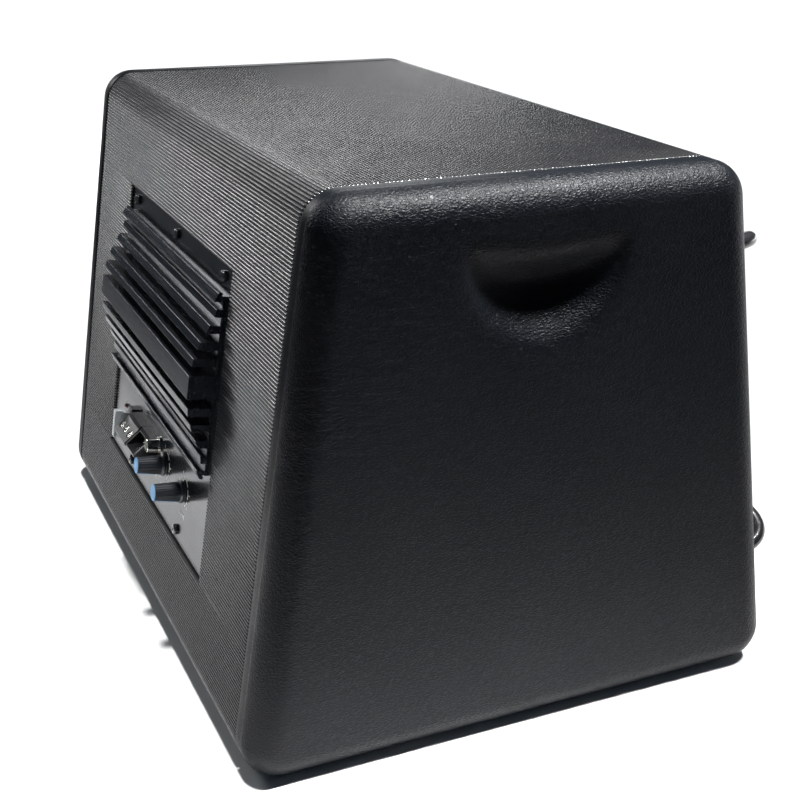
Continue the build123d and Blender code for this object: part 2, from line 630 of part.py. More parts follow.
woofer_parts = {
    "woofer_basket": basket(),
    "woofer_surround": surround(),
    "woofer_trim_ring": fillet(
        tube(LEDGE_RADIUS, 111.6, LEDGE_N + SKIN, 6.0).faces().sort_by(Axis.Z)[-1].edges(), 1.2
    ),
    "woofer_cone": cone(),
    "dust_cap": dome(CAP_DOME_RADIUS, CAP_DOME_HEIGHT, 1.0, -24.1),
    "spider": spider(),
    "coil_former": tube(FORMER_RADIUS, FORMER_RADIUS - FORMER_WALL, -79, -30.5),
    "voice_coil": tube(26.6, FORMER_RADIUS, -78, -58),
    "top_plate": tube(56, 27.2, -72, -64),
    "magnet": fillet(tube(65, 33, -90, -72).edges(), 1.0),
    "back_plate": rod(60, -97, -90) + rod(24.3, -90, -64) - rod(8, -99, -60),
    "woofer_screws": group(
        Pos(x, y, FLANGE_T) * pan_screw(4.2, 3.0, WOOFER_SCREW_RADIUS, 15) for x, y in woofer_screw_spots
    ),
}
lug_board = Pos(0, 76, 0) * block(24, 2.0, -36, -24)
lugs = [Pos(x, 79, 0) * block(4.8, 4.0, -31, -30.2) for x in (-6.5, 6.5)]
woofer_parts["speaker_lugs"] = Rot(0, 0, 180) * Pos(0, 22.5, 6) * (lug_board + lugs[0] + lugs[1])
for name, solid in woofer_parts.items():
    PARTS[name] = front_frame * solid


# ---------------------------------------------------------------- guard bars

def guard_bar(side):
    """A bent rod over the woofer, side +1 above and -1 below, bowed towards the middle of the woofer."""
    bow = math.radians(BAR_BOW_DEG)
    low = BAR_STANDOFF - BAR_BEND
    foot_up = side * BAR_FOOT_UP
    reach, drop = BAR_BEND * math.cos(bow), -side * BAR_BEND * math.sin(bow)
    half = math.sqrt(0.5)
    shoulder = (-BAR_FOOT_X + reach, foot_up + drop, BAR_STANDOFF)
    knee = (
        -BAR_FOOT_X + reach * (1 - half), foot_up + drop * (1 - half), low + BAR_BEND * half,
    )
    middle_up = shoulder[1] - side * (BAR_FOOT_X - reach) * math.tan(bow / 2)

    def across(point):
        return (-point[0], point[1], point[2])

    start = (-BAR_FOOT_X, foot_up, 0)
    rise = (-BAR_FOOT_X, foot_up, low)
    path = Wire([
        Line(start, rise),
        ThreePointArc(rise, knee, shoulder),
        ThreePointArc(shoulder, (0, middle_up, BAR_STANDOFF), across(shoulder)),
        ThreePointArc(across(shoulder), across(knee), across(rise)),
        Line(across(rise), across(start)),
    ])
    solid = sweep(Pos(*start) * Circle(BAR_RADIUS), path=path)
    for x in (-BAR_FOOT_X, BAR_FOOT_X):
        solid -= Pos(x, foot_up, 0) * rod(STUD_RADIUS + RUNNING, -1, STUD_OUT + 1)
    return solid


PARTS["guard_bar_upper"] = front_frame * guard_bar(1)
PARTS["guard_bar_lower"] = front_frame * guard_bar(-1)
bar_collar = fillet(tube(5.8, BAR_RADIUS + 0.02, 0, 2.4).faces().sort_by(Axis.Z)[-1].edges(), 0.5)
PARTS["guard_bar_collars"] = group(front_frame * Pos(x, y, 0) * bar_collar for x, y in bar_foot_spots)
bar_stud = rod(STUD_RADIUS, -STUD_IN, STUD_OUT)
PARTS["guard_bar_studs"] = group(front_frame * Pos(x, y, 0) * bar_stud for x, y in bar_foot_spots)


os.makedirs("parts", exist_ok=True)
for name, shape in PARTS.items():
    export_step(shape, os.path.join("parts", name + ".step"))
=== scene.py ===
import json
import math

import bmesh
import bpy
from mathutils import Matrix, Vector


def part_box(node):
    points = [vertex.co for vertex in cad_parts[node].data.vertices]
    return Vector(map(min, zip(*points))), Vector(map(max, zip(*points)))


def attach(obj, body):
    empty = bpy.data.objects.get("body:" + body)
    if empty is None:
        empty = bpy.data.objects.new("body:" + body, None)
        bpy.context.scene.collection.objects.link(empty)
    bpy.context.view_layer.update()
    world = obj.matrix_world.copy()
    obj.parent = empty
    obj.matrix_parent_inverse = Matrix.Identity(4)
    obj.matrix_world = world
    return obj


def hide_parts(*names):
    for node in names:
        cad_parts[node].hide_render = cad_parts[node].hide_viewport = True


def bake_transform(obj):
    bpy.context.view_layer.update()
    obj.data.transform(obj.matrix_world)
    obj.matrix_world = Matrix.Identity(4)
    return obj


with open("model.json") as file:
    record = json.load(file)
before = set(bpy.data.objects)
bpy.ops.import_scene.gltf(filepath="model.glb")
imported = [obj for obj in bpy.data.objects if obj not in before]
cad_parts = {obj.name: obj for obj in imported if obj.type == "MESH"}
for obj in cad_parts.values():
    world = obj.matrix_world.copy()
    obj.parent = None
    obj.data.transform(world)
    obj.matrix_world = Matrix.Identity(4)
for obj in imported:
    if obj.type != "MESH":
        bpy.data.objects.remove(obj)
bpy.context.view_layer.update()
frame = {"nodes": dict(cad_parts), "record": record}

record = frame["record"]
joints = {j["name"]: j for j in record["behaviour"]["joints"]}

# ---------------------------------------------------------------- sizes in metres

CORNER = 0.021
END_ROUND = 0.017
WRAP = 0.0016
RIB_PITCH = 0.0021
RIB_DEPTH = 0.0009
RIB_SAMPLES = 8
BAND = 0.0085
PLATE_SINK = 0.0019
POCKET_DEPTH = 0.0055
RECESS_TOP = 0.279
RECESS_MIDDLE = 0.0045
RECESS_HALF = 0.045
RECESS_DEPTH = 0.017
RECESS_SAG = 0.0045
RECESS_LIP_BLEND = 0.0034
RECESS_EDGE_BLEND = 0.0024
HUB_DROP = 0.02
PLATE_HEIGHT = 0.1854
PLATE_THICK = 0.002
EDGE_STEPS = 12
CAP_SIDE_POINTS = (74, 56, 74, 76)
CAP_CORNER_POINTS = 12
CLOSEST_STATIONS = 2e-5
POCKET_STEPS = (WRAP, WRAP * 0.62, WRAP * 0.3, WRAP * 0.08)
END_TURN = [(0.0016, 0.0), (0.0009, 0.00015), (0.0004, 0.0005), (0.0001, 0.001), (0.0, WRAP)]
RING_THICK = 0.0082
POCKET_GAP = 0.0003
BASKET_HOLE = 0.124
SURROUND_SECTORS = 24
MARK_LIFT = 0.00006
DIAL_RADIUS = 0.0090
DIAL_WIDTH = 0.0009
TICK_RADIUS = 0.0114

# ---------------------------------------------------------------- places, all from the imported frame

rear_n = Vector(joints["gain_turn"]["axis"]).normalized()
front_n = Vector(joints["cone_travel"]["axis"]).normalized()
rear_up = Vector((0, -rear_n.z, rear_n.y)).normalized()
front_up = Vector((0, front_n.z, -front_n.y)).normalized()
wrap_low, wrap_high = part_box("vinyl_wrap")
cap_low, cap_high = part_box("end_cap_right")
plate_low, plate_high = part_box("amp_plate")
ring_low, ring_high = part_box("woofer_trim_ring")
HEIGHT = wrap_high.z
WRAP_END = wrap_high.x
CAP_START = cap_low.x
CAP_END = cap_high.x
plate_middle = (plate_low + plate_high) / 2 + rear_n * PLATE_THICK / 2
ring_middle = (ring_low + ring_high) / 2 - front_n * RING_THICK / 2
PLATE_WIDTH = plate_high.x - plate_low.x
rear_foot = Vector((0, wrap_high.y - CORNER, CORNER))
front_foot = Vector((0, wrap_low.y + CORNER, CORNER))


def on_plate(across, up, out):
    """A point by the amplifier plate: across (towards -X), up its slope and out from its outer face."""
    return plate_middle + Vector((-across, 0, 0)) + rear_up * up + rear_n * out


def on_front(across, up, out):
    """A point by the woofer: across (+X), up the front face's slope and out from that face."""
    return ring_middle + Vector((across, 0, 0)) + front_up * up + front_n * out


def face_line(foot_centre, normal):
    """The (y, z) plane of a leaning face, as its distance along its normal."""
    return foot_centre.dot(normal) + CORNER


rear_d = face_line(rear_foot, rear_n)
front_d = face_line(front_foot, front_n)

# ---------------------------------------------------------------- mesh helpers


def mesh_object(name, verts, faces, smooth=True):
    mesh = bpy.data.meshes.new(name)
    mesh.from_pydata([tuple(v) for v in verts], [], faces)
    mesh.update()
    obj = bpy.data.objects.new(name, mesh)
    bpy.context.scene.collection.objects.link(obj)
    if smooth:
        mesh.polygons.foreach_set("use_smooth", [True] * len(mesh.polygons))
    return obj


def tidy_normals(obj):
    bm = bmesh.new()
    bm.from_mesh(obj.data)
    bmesh.ops.remove_doubles(bm, verts=bm.verts, dist=1e-6)
    bmesh.ops.recalc_face_normals(bm, faces=bm.faces)
    bm.to_mesh(obj.data)
    bm.free()


def corner_point(d_a, n_a, d_b, n_b):
    """Where two leaning lines of the (y, z) section cross."""
    det = n_a.y * n_b.z - n_a.z * n_b.y
    return Vector((0, (d_a * n_b.z - d_b * n_a.z) / det, (n_a.y * d_b - n_b.y * d_a) / det))


UP, DOWN = Vector((0, 0, 1)), Vector((0, 0, -1))
SIDES = [(rear_n, rear_d), (UP, HEIGHT), (front_n, front_d), (DOWN, 0.0)]


def section_parts(inset):
    """The section as alternating straight runs and corner arcs, starting up the rear face.

    A line is its two ends, normal and side; an arc is its centre, radius, start and end normal."""
    radius = CORNER - inset
    centres = []
    for k in range(4):
        (n_a, d_a), (n_b, d_b) = SIDES[k], SIDES[(k + 1) % 4]
        centres.append(corner_point(d_a - CORNER, n_a, d_b - CORNER, n_b))
    parts = []
    for k in range(4):
        normal = SIDES[k][0]
        start, end = centres[k - 1] + normal * radius, centres[k] + normal * radius
        parts.append(("line", start, end, normal, k))
        parts.append(("arc", centres[k], radius, normal, SIDES[(k + 1) % 4][0]))
    return parts


def arc_normal(n_a, n_b, share):
    """The unit normal part of the way round a corner."""
    angle = n_a.angle(n_b)
    sin = math.sin(angle)
    return (n_a * math.sin((1 - share) * angle) + n_b * math.sin(share * angle)) / sin


def section_loop(inset, line_counts, arc_count):
    """Points and normals round the section, the same number whatever the inset."""
    points = []
    for part in section_parts(inset):
        if part[0] == "line":
            _, start, end, normal, k = part
            for i in range(line_counts[k]):
                points.append((start.lerp(end, i / line_counts[k]), normal))
        else:
            _, centre, radius, n_a, n_b = part
            for i in range(arc_count):
                normal = arc_normal(n_a, n_b, i / arc_count)
                points.append((centre + normal * radius, normal))
    return points


# ---------------------------------------------------------------- ribbed vinyl wrap


def section_at(distance, parts):
    """Point, normal and side at a distance along the section; a corner has no side."""
    for part in parts:
        if part[0] == "line":
            _, start, end, normal, k = part
            length = (end - start).length
            if distance <= length:
                return start.lerp(end, distance / length), normal, k
        else:
            _, centre, radius, n_a, n_b = part
            length = n_a.angle(n_b) * radius
            if distance <= length:
                normal = arc_normal(n_a, n_b, distance / length)
                return centre + normal * radius, normal, None
        distance -= length
    _, centre, radius, _, n_b = parts[-1]
    return centre + n_b * radius, n_b, None


def perimeter(parts):
    total = 0
    for part in parts:
        total += (part[2] - part[1]).length if part[0] == "line" else part[3].angle(part[4]) * part[2]
    return total


def rib_stations(total, edges):
    """Distances round the section: samples of every rib, and more where the skin turns into the pocket."""
    ribs = round(total / RIB_PITCH)
    pitch = total / ribs
    stations = [pitch * (r + i / RIB_SAMPLES) for r in range(ribs) for i in range(RIB_SAMPLES)]
    for edge, side in zip(edges, (-1, 1)):
        stations += [edge, edge + side * WRAP * 0.3, edge + side * WRAP * 0.62, edge + side * WRAP]
    kept = []
    for s in sorted(stations):
        if not kept or s - kept[-1] > CLOSEST_STATIONS:
            kept.append(s)
    return kept, pitch


def turned_edge(distance):
    """How far the skin has dropped where it turns over the edge of the amplifier pocket."""
    if distance >= WRAP:
        return 0.0
    return WRAP - math.sqrt(max(0.0, WRAP**2 - (WRAP - distance) ** 2))


def ribbed_wrap():
    """The vinyl skin: a row of points along X at every station, round the pocket and the woofer's hole."""
    parts = section_parts(0)
    middle_at = (pocket_middle - section_at(0, parts)[0]).dot(rear_up)
    edges = [middle_at - half_high, middle_at + half_high]
    stations, pitch = rib_stations(perimeter(parts), edges)
    verts, faces, crests = [], [], []

    def put(row, x, sink):
        point, normal, dip = row
        verts.append(point - normal * sink + Vector((x, 0, 0)))
        crests.append(1 - dip / RIB_DEPTH)
        return len(verts) - 1

    def rib_end(row, side):
        """The rib's end, turned down into the groove beside the end cap."""
        dip = row[2]
        sinks = [max(dip, drop + dip * 0.5) if drop else dip for _, drop in END_TURN]
        return [put(row, side * (WRAP_END - back), sink) for (back, _), sink in zip(END_TURN, sinks)]

    def pocket_sides(row):
        """The skin either side of the pocket, turned over its edge and down its wall."""
        dip = row[2]
        columns = []
        for sign in (-1, 1):
            inner = [put(row, sign * (half_wide + d), dip + turned_edge(d)) for d in POCKET_STEPS]
            wall = sign * (half_wide + dip * 0.9)
            inner.append(put(row, wall, WRAP + 0.0002 + dip * 0.2))
            inner.append(put(row, wall, POCKET_DEPTH))
            columns.append(inner)
        return columns

    def hole_sides(row):
        drop = (row[0] - ring_middle).dot(front_up)
        reach = math.sqrt(max(0.0, BASKET_HOLE**2 - drop**2))
        return [put(row, -reach, row[2]), put(row, reach, row[2])]

    def rim(row, near):
        """The skin just above or below the pocket, at this distance from its edge."""
        columns = []
        for sign, backs in ((-1, (WRAP, WRAP / 2, 0)), (1, (0, WRAP / 2, WRAP))):
            for back in backs:
                sink = row[2] + turned_edge(math.hypot(near, back))
                columns.append(put(row, sign * (half_wide + back), sink))
        return columns

    strips = []
    for s in stations:
        point, normal, side = section_at(s, parts)
        crest = abs(math.sin(math.pi * (s / pitch % 1.0))) ** 0.9
        row = (point, normal, RIB_DEPTH * (1 - crest))
        left, right = list(reversed(rib_end(row, -1))), rib_end(row, 1)
        near = max(edges[0] - s, s - edges[1])
        if side == 0 and near <= 1e-6:
            strips.append(("cut", left, pocket_sides(row), right))
        elif side == 2:
            strips.append(("hole", left, hole_sides(row), right))
        elif side == 0 and near < WRAP:
            strips.append(("rim", left, rim(row, near), right))
        else:
            strips.append(("plain", left, [], right))

    def lace(a, b):
        """Faces between two rows' columns of the same count."""
        for i in range(len(a) - 1):
            faces.append((a[i], a[i + 1], b[i + 1], b[i]))

    for a, b in zip(strips, strips[1:] + strips[:1]):
        (kind_a, left_a, middle_a, right_a), (kind_b, left_b, middle_b, right_b) = a, b
        lace(left_a, left_b)
        lace(right_a, right_b)
        if kind_a == kind_b == "cut":
            lace([left_a[-1]] + middle_a[0], [left_b[-1]] + middle_b[0])
            faces.append((right_a[0], middle_a[1][0], middle_b[1][0], right_b[0]))
            lace(middle_a[1], middle_b[1])
        elif kind_a == kind_b == "hole":
            lace([left_a[-1], middle_a[0]], [left_b[-1], middle_b[0]])
            lace([middle_a[1], right_a[0]], [middle_b[1], right_b[0]])
        elif kind_a == kind_b == "rim":
            lace([left_a[-1]] + middle_a + [right_a[0]], [left_b[-1]] + middle_b + [right_b[0]])
        else:
            lace([left_a[-1], right_a[0]], [left_b[-1], right_b[0]])
    obj = mesh_object("ribbed_wrap", verts, faces)
    # crest height per point; the vinyl material uses it for painted shade and a duller finish in the rib
    # valleys
    obj.data.attributes.new("crest", "FLOAT", "POINT").data.foreach_set("value", crests)
    tidy_normals(obj)
    return obj


def pocket_walls():
    """The wrap's turned-in skin along the pocket's two long walls, with one bead down each."""
    verts, faces = [], []
    for side in (-1, 1):
        edge = side * half_high
        profile = [(WRAP, 0.0), (WRAP * 0.5, 0.0002), (0.0002, 0.0008), (0, WRAP), (0.0006, WRAP + 0.0006),
                   (0, WRAP + 0.0014), (0.0006, WRAP + 0.0024), (0, POCKET_DEPTH)]
        base = len(verts)
        for back, sink in profile:
            point = pocket_middle + rear_up * (edge + side * back) - rear_n * sink
            for x in (-half_wide - 0.0004, half_wide + 0.0004):
                verts.append(point + Vector((x, 0, 0)))
        for p in range(base, len(verts) - 2, 2):
            faces.append((p, p + 1, p + 3, p + 2))
    return mesh_object("pocket_wall_skin", verts, faces)


half_wide, half_high = PLATE_WIDTH / 2 + POCKET_GAP, PLATE_HEIGHT / 2 + POCKET_GAP
pocket_middle = plate_middle + rear_n * PLATE_SINK
wrap, pocket_skin = ribbed_wrap(), pocket_walls()
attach(wrap, "cabinet")
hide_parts("vinyl_wrap")
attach(pocket_skin, "cabinet")

# ---------------------------------------------------------------- moulded end caps


def soft_min(a, b, k):
    """The lower of two values, with the change between them rounded over about k."""
    low = min(a, b)
    return low - k * math.log(math.exp(-(a - low) / k) + math.exp(-(b - low) / k))


def soft_floor(value, k):
    """The value where it is above zero, easing out to zero below."""
    if value > 12 * k:
        return value
    return k * math.log1p(math.exp(value / k))


def recess_depth(y, z):
    """Depth of the half-moon finger recess: a shallow bowl under a sloping, slightly sagging lip."""
    ball = (RECESS_HALF**2 + RECESS_DEPTH**2) / (2 * RECESS_DEPTH)
    across = y - RECESS_MIDDLE
    reach = ball**2 - across**2 - (z - RECESS_TOP) ** 2
    bowl = (math.sqrt(reach) if reach > 0 else -0.02) - (ball - RECESS_DEPTH)
    lip_radius = (RECESS_HALF**2 + RECESS_SAG**2) / (2 * RECESS_SAG)
    lip = -1
    if abs(across) < lip_radius:
        lip = RECESS_TOP + lip_radius - math.sqrt(lip_radius**2 - across**2) - z
    return soft_floor(soft_min(bowl, lip, RECESS_LIP_BLEND), RECESS_EDGE_BLEND)


def end_cap(side, name):
    """A cap as loops of the section: its band, its rounded edge, then the flat end with the recess."""
    rings = [(CAP_START + 0.0001, 0.004), (CAP_START, 0.0006), (CAP_START + 0.0003, 0.00015),
             (CAP_START + 0.0008, 0.0), (CAP_START + BAND * 0.5, 0.0), (CAP_START + BAND, 0.0)]
    for i in range(1, EDGE_STEPS + 1):
        angle = math.pi / 2 * i / EDGE_STEPS
        rings.append((CAP_END - END_ROUND * (1 - math.sin(angle)), END_ROUND * (1 - math.cos(angle))))
    verts, faces = [], []
    previous = []

    def add_loop(points):
        ids = list(range(len(verts), len(verts) + len(points)))
        verts.extend(points)
        for i in range(len(previous)):
            j = (i + 1) % len(ids)
            faces.append((previous[i], previous[j], ids[j], ids[i]))
        return ids

    for x, inset in rings:
        loop = section_loop(inset, CAP_SIDE_POINTS, CAP_CORNER_POINTS)
        previous = add_loop([Vector((side * x, point.y, point.z)) for point, _ in loop])
    hub = Vector((side * CAP_END, RECESS_MIDDLE, RECESS_TOP - HUB_DROP))
    rim = [verts[i] for i in previous]
    for share in [1 - 0.022 * k for k in range(1, 26)] + [0.45 - 0.0115 * k for k in range(1, 38)]:
        spots = [(hub.y + (point.y - hub.y) * share, hub.z + (point.z - hub.z) * share) for point in rim]
        previous = add_loop([Vector((side * (CAP_END - recess_depth(y, z)), y, z)) for y, z in spots])
    verts.append(Vector((side * (CAP_END - recess_depth(hub.y, hub.z)), hub.y, hub.z)))
    for i in range(len(previous)):
        faces.append((previous[i], previous[(i + 1) % len(previous)], len(verts) - 1))
    obj = mesh_object(name, verts, faces)
    tidy_normals(obj)
    return obj


caps = []
for side, name in ((-1, "left"), (1, "right")):
    cap = end_cap(side, f"moulded_cap_{name}")
    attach(cap, "cabinet")
    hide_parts(f"end_cap_{name}")
    caps.append(cap)

# ---------------------------------------------------------------- surround and spider


def ring_mesh(name, profile, frame_point, start, end, segments):
    """A turned skin between the frame and the cone, built in sectors and joined into one mesh."""
    pieces = []
    count = len(profile)
    for k in range(SURROUND_SECTORS):
        a0, a1 = (2 * math.pi * (k + i) / SURROUND_SECTORS for i in (0, 1))
        verts, faces = [], []
        for i in range(segments + 1):
            a = a0 + (a1 - a0) * i / segments
            for radius, out in profile:
                verts.append(frame_point(radius * math.cos(a), radius * math.sin(a), out))
        for i in range(segments):
            for j in range(count):
                m = (j + 1) % count
                faces.append((i * count + j, (i + 1) * count + j, (i + 1) * count + m, i * count + m))
        piece = mesh_object(f"{name}_{k:02d}", verts, faces)
        middle = (a0 + a1) / 2
        at = [frame_point(r * math.cos(middle), r * math.sin(middle), 0) for r in (start, end)]
        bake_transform(piece)
        pieces.append(piece)
    bpy.ops.object.select_all(action="DESELECT")
    for piece in pieces:
        piece.select_set(True)
    bpy.context.view_layer.objects.active = pieces[0]
    bpy.ops.object.join()
    pieces[0].name = name
    tidy_normals(pieces[0])
    return pieces[0]


def half_roll():
    """The surround's section: glued flat on the frame's ledge, a half roll, and a flat glued on the cone."""
    middle, radius, low, skin = 0.1015, 0.0095, 0.0010, 0.0012
    top = [(0.1190, low + skin), (0.1125, low + skin)]
    for i in range(15):
        a = math.pi * i / 14
        top.append((middle + radius * math.cos(a), low + skin + (radius - 0.0002) * math.sin(a)))
    top += [(0.0895, low + skin), (0.0856, low + skin), (0.0850, low + skin * 0.6), (0.0848, low)]
    bottom = [(0.0905, low)]
    for i in range(15):
        a = math.pi * (1 - i / 14)
        bottom.append((middle + (radius - skin) * math.cos(a), low + (radius - skin) * math.sin(a)))
    bottom += [(0.1190, low)]
    return top + bottom


surround = ring_mesh("surround_roll", half_roll(), on_front, 0.1102, 0.0928, 6)
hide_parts("woofer_surround")


def corrugation():
    """The spider's section: a flat glued on the former, four waves and a flat glued on the basket."""
    inner, outer, mid_n, thick = 0.0299, 0.054, -0.050, 0.0004
    line = [(0.02546, mid_n + thick), (0.0275, mid_n + thick), (inner, mid_n + thick)]
    samples = 48
    for i in range(1, samples):
        share = i / samples
        line.append((inner + (outer - inner) * share, mid_n - 0.0019 * math.sin(2 * math.pi * 4 * share)))
    line += [(outer, mid_n), (0.058, mid_n - 0.0006), (0.062, mid_n - 0.0008), (0.0659, mid_n - 0.0008)]
    return line + [(r, n - 0.0007) for r, n in reversed(line)]


spider = ring_mesh("spider_disc", corrugation(), on_front, 0.0555, 0.0290, 5)
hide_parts("spider")

# ---------------------------------------------------------------- printed marks on the plate


def flat_marks(name, shapes):
    """Thin printed marks: each shape is a list of (across, up) corners on the plate."""
    verts, faces = [], []
    for shape in shapes:
        base = len(verts)
        for across, up in shape:
            verts.append(on_plate(across, up, MARK_LIFT))
        faces.append(tuple(range(base, base + len(shape))))
    obj = mesh_object(name, verts, faces, smooth=False)
    bm = bmesh.new()
    bm.from_mesh(obj.data)
    for face in bm.faces:
        if face.normal.dot(rear_n) < 0:
            face.normal_flip()
    bm.to_mesh(obj.data)
    bm.free()
    return obj


def bar_mark(x, y, length, width, turn):
    """The corners of a short bar turned about its middle."""
    dx, dy = math.cos(turn), math.sin(turn)
    return [
        (x + dx * a * length / 2 - dy * b * width / 2, y + dy * a * length / 2 + dx * b * width / 2)
        for a, b in ((-1, -1), (1, -1), (1, 1), (-1, 1))
    ]


def arc_marks(x, y, radius, width, start, end, steps):
    """The corners of the short blocks that make up a printed arc."""
    shapes = []
    low, high = radius - width / 2, radius + width / 2
    for i in range(steps):
        a, b = start + (end - start) * i / steps, start + (end - start) * (i + 1) / steps
        shapes.append([
            (x + math.cos(t) * r, y + math.sin(t) * r)
            for t, r in ((a, low), (b, low), (b, high), (a, high))
        ])
    return shapes


marks = []
for joint in ("gain_turn", "crossover_turn"):
    at = Vector(joints[joint]["pos_m"]) - plate_middle
    x, y = -at.x, at.dot(rear_up)
    for k in range(6):
        start = math.radians(-60 + 50 * k)
        marks += arc_marks(x, y, DIAL_RADIUS, DIAL_WIDTH, start, start + math.radians(38), 10)
        tick = start + math.radians(19)
        at_tick = (x + math.cos(tick) * TICK_RADIUS, y + math.sin(tick) * TICK_RADIUS)
        marks.append(bar_mark(*at_tick, 0.0022, 0.0007, tick))
    # generic level wedge under the dial
    for k in range(5):
        marks.append(bar_mark(x - 0.0055 + 0.0027 * k, y - 0.0150, 0.0009 + 0.0006 * k, 0.0012, math.pi / 2))
for x, length in ((-0.0470, 0.005), (-0.0378, 0.005), (-0.0286, 0.005), (-0.0129, 0.013), (0.0043, 0.007)):
    marks.append(bar_mark(x, -0.0735, length, 0.0007, 0))
marks.append(bar_mark(-0.082, -0.0625, 0.005, 0.0007, 0))
marks += arc_marks(-0.082, -0.0563, 0.0034, 0.0005, 0, 2 * math.pi, 28)
printed = flat_marks("printed_marks", marks)
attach(printed, "cabinet")

# ---------------------------------------------------------------- materials


class Surface:
    """One procedural material: a Principled shader with named helper nodes."""

    def __init__(self, name, **settings):
        self.mat = bpy.data.materials.new(name)
        self.mat.use_nodes = True
        self.nodes = self.mat.node_tree.nodes
        self.links = self.mat.node_tree.links
        self.shader = self.nodes["Principled BSDF"]
        self.coords = self.nodes.new("ShaderNodeTexCoord").outputs["Object"]
        self.normal = None
        for socket, value in settings.items():
            self.shader.inputs[socket.replace("_", " ")].default_value = value

    def node(self, kind, inputs, output, **settings):
        made = self.nodes.new(kind)
        for key, value in settings.items():
            setattr(made, key, value)
        for key, value in inputs.items():
            if isinstance(value, bpy.types.NodeSocket):
                self.links.new(value, made.inputs[key])
            else:
                made.inputs[key].default_value = value
        return made.outputs[output]

    def stretch(self, scale, source=None):
        return self.node("ShaderNodeMapping", {"Vector": source or self.coords, "Scale": scale}, "Vector")

    def noise(self, scale, detail=3.0, rough=0.55, source=None):
        inputs = {"Vector": source or self.coords, "Scale": scale, "Detail": detail, "Roughness": rough}
        return self.node("ShaderNodeTexNoise", inputs, "Fac")

    def cells(self, scale, feature="F1", source=None):
        inputs = {"Vector": source or self.coords, "Scale": scale}
        return self.node("ShaderNodeTexVoronoi", inputs, "Distance", feature=feature)

    def math(self, operation, a, b=0.0):
        made = self.nodes.new("ShaderNodeMath")
        made.operation = operation
        for index, value in enumerate((a, b)):
            if isinstance(value, bpy.types.NodeSocket):
                self.links.new(value, made.inputs[index])
            else:
                made.inputs[index].default_value = value
        return made.outputs[0]

    def ranged(self, value, low, high, to_low=0.0, to_high=1.0, smooth=False):
        inputs = {"Value": value, "From Min": low, "From Max": high, "To Min": to_low, "To Max": to_high}
        kind = "SMOOTHSTEP" if smooth else "LINEAR"
        return self.node("ShaderNodeMapRange", inputs, "Result", interpolation_type=kind)

    def blend(self, factor, a, b):
        made = self.nodes.new("ShaderNodeMix")
        made.data_type = "RGBA"
        self.links.new(factor, made.inputs["Factor"])
        for key, value in ((6, a), (7, b)):
            if isinstance(value, bpy.types.NodeSocket):
                self.links.new(value, made.inputs[key])
            else:
                made.inputs[key].default_value = (*value, 1.0)
        return made.outputs[2]

    def along(self, axis):
        return self.node("ShaderNodeSeparateXYZ", {"Vector": self.coords}, axis)

    def bump(self, height, strength, distance):
        inputs = {"Height": height, "Strength": strength, "Distance": distance}
        if self.normal is not None:
            inputs["Normal"] = self.normal
        self.normal = self.node("ShaderNodeBump", inputs, "Normal")
        self.links.new(self.normal, self.shader.inputs["Normal"])

    def colour(self, socket):
        self.links.new(socket, self.shader.inputs["Base Color"])

    def roughness(self, socket):
        self.links.new(socket, self.shader.inputs["Roughness"])


def plain_finish(name, dark, light, rough, patch=25.0, grain=900.0, grain_depth=0.00004, grain_strength=0.35,
                 scuffs=0.0, stretch=None, **settings):
    """A finish with soft colour patches, a fine grain, uneven gloss and, where asked, light scuffs."""
    s = Surface(name, **settings)
    source = s.stretch(stretch) if stretch else None
    tone = s.blend(s.ranged(s.noise(patch, 4.0), 0.35, 0.68), dark, light)
    fine = s.noise(grain, 4.0, 0.6, source=source)
    gloss = s.ranged(s.noise(patch * 3.1, 5.0, 0.65), 0.3, 0.72, rough[0], rough[1])
    if scuffs:
        rub = s.ranged(s.noise(38.0, 6.0, 0.75, source=s.stretch((1.0, 6.0, 1.6))), 0.66, 0.74, 0.0, scuffs)
        tone = s.blend(rub, tone, tuple(min(1.0, c * 2.2 + 0.05) for c in light))
        gloss = s.math("ADD", gloss, s.math("MULTIPLY", rub, 0.2))
    s.colour(tone)
    s.roughness(gloss)
    s.bump(fine, grain_strength, grain_depth)
    return s


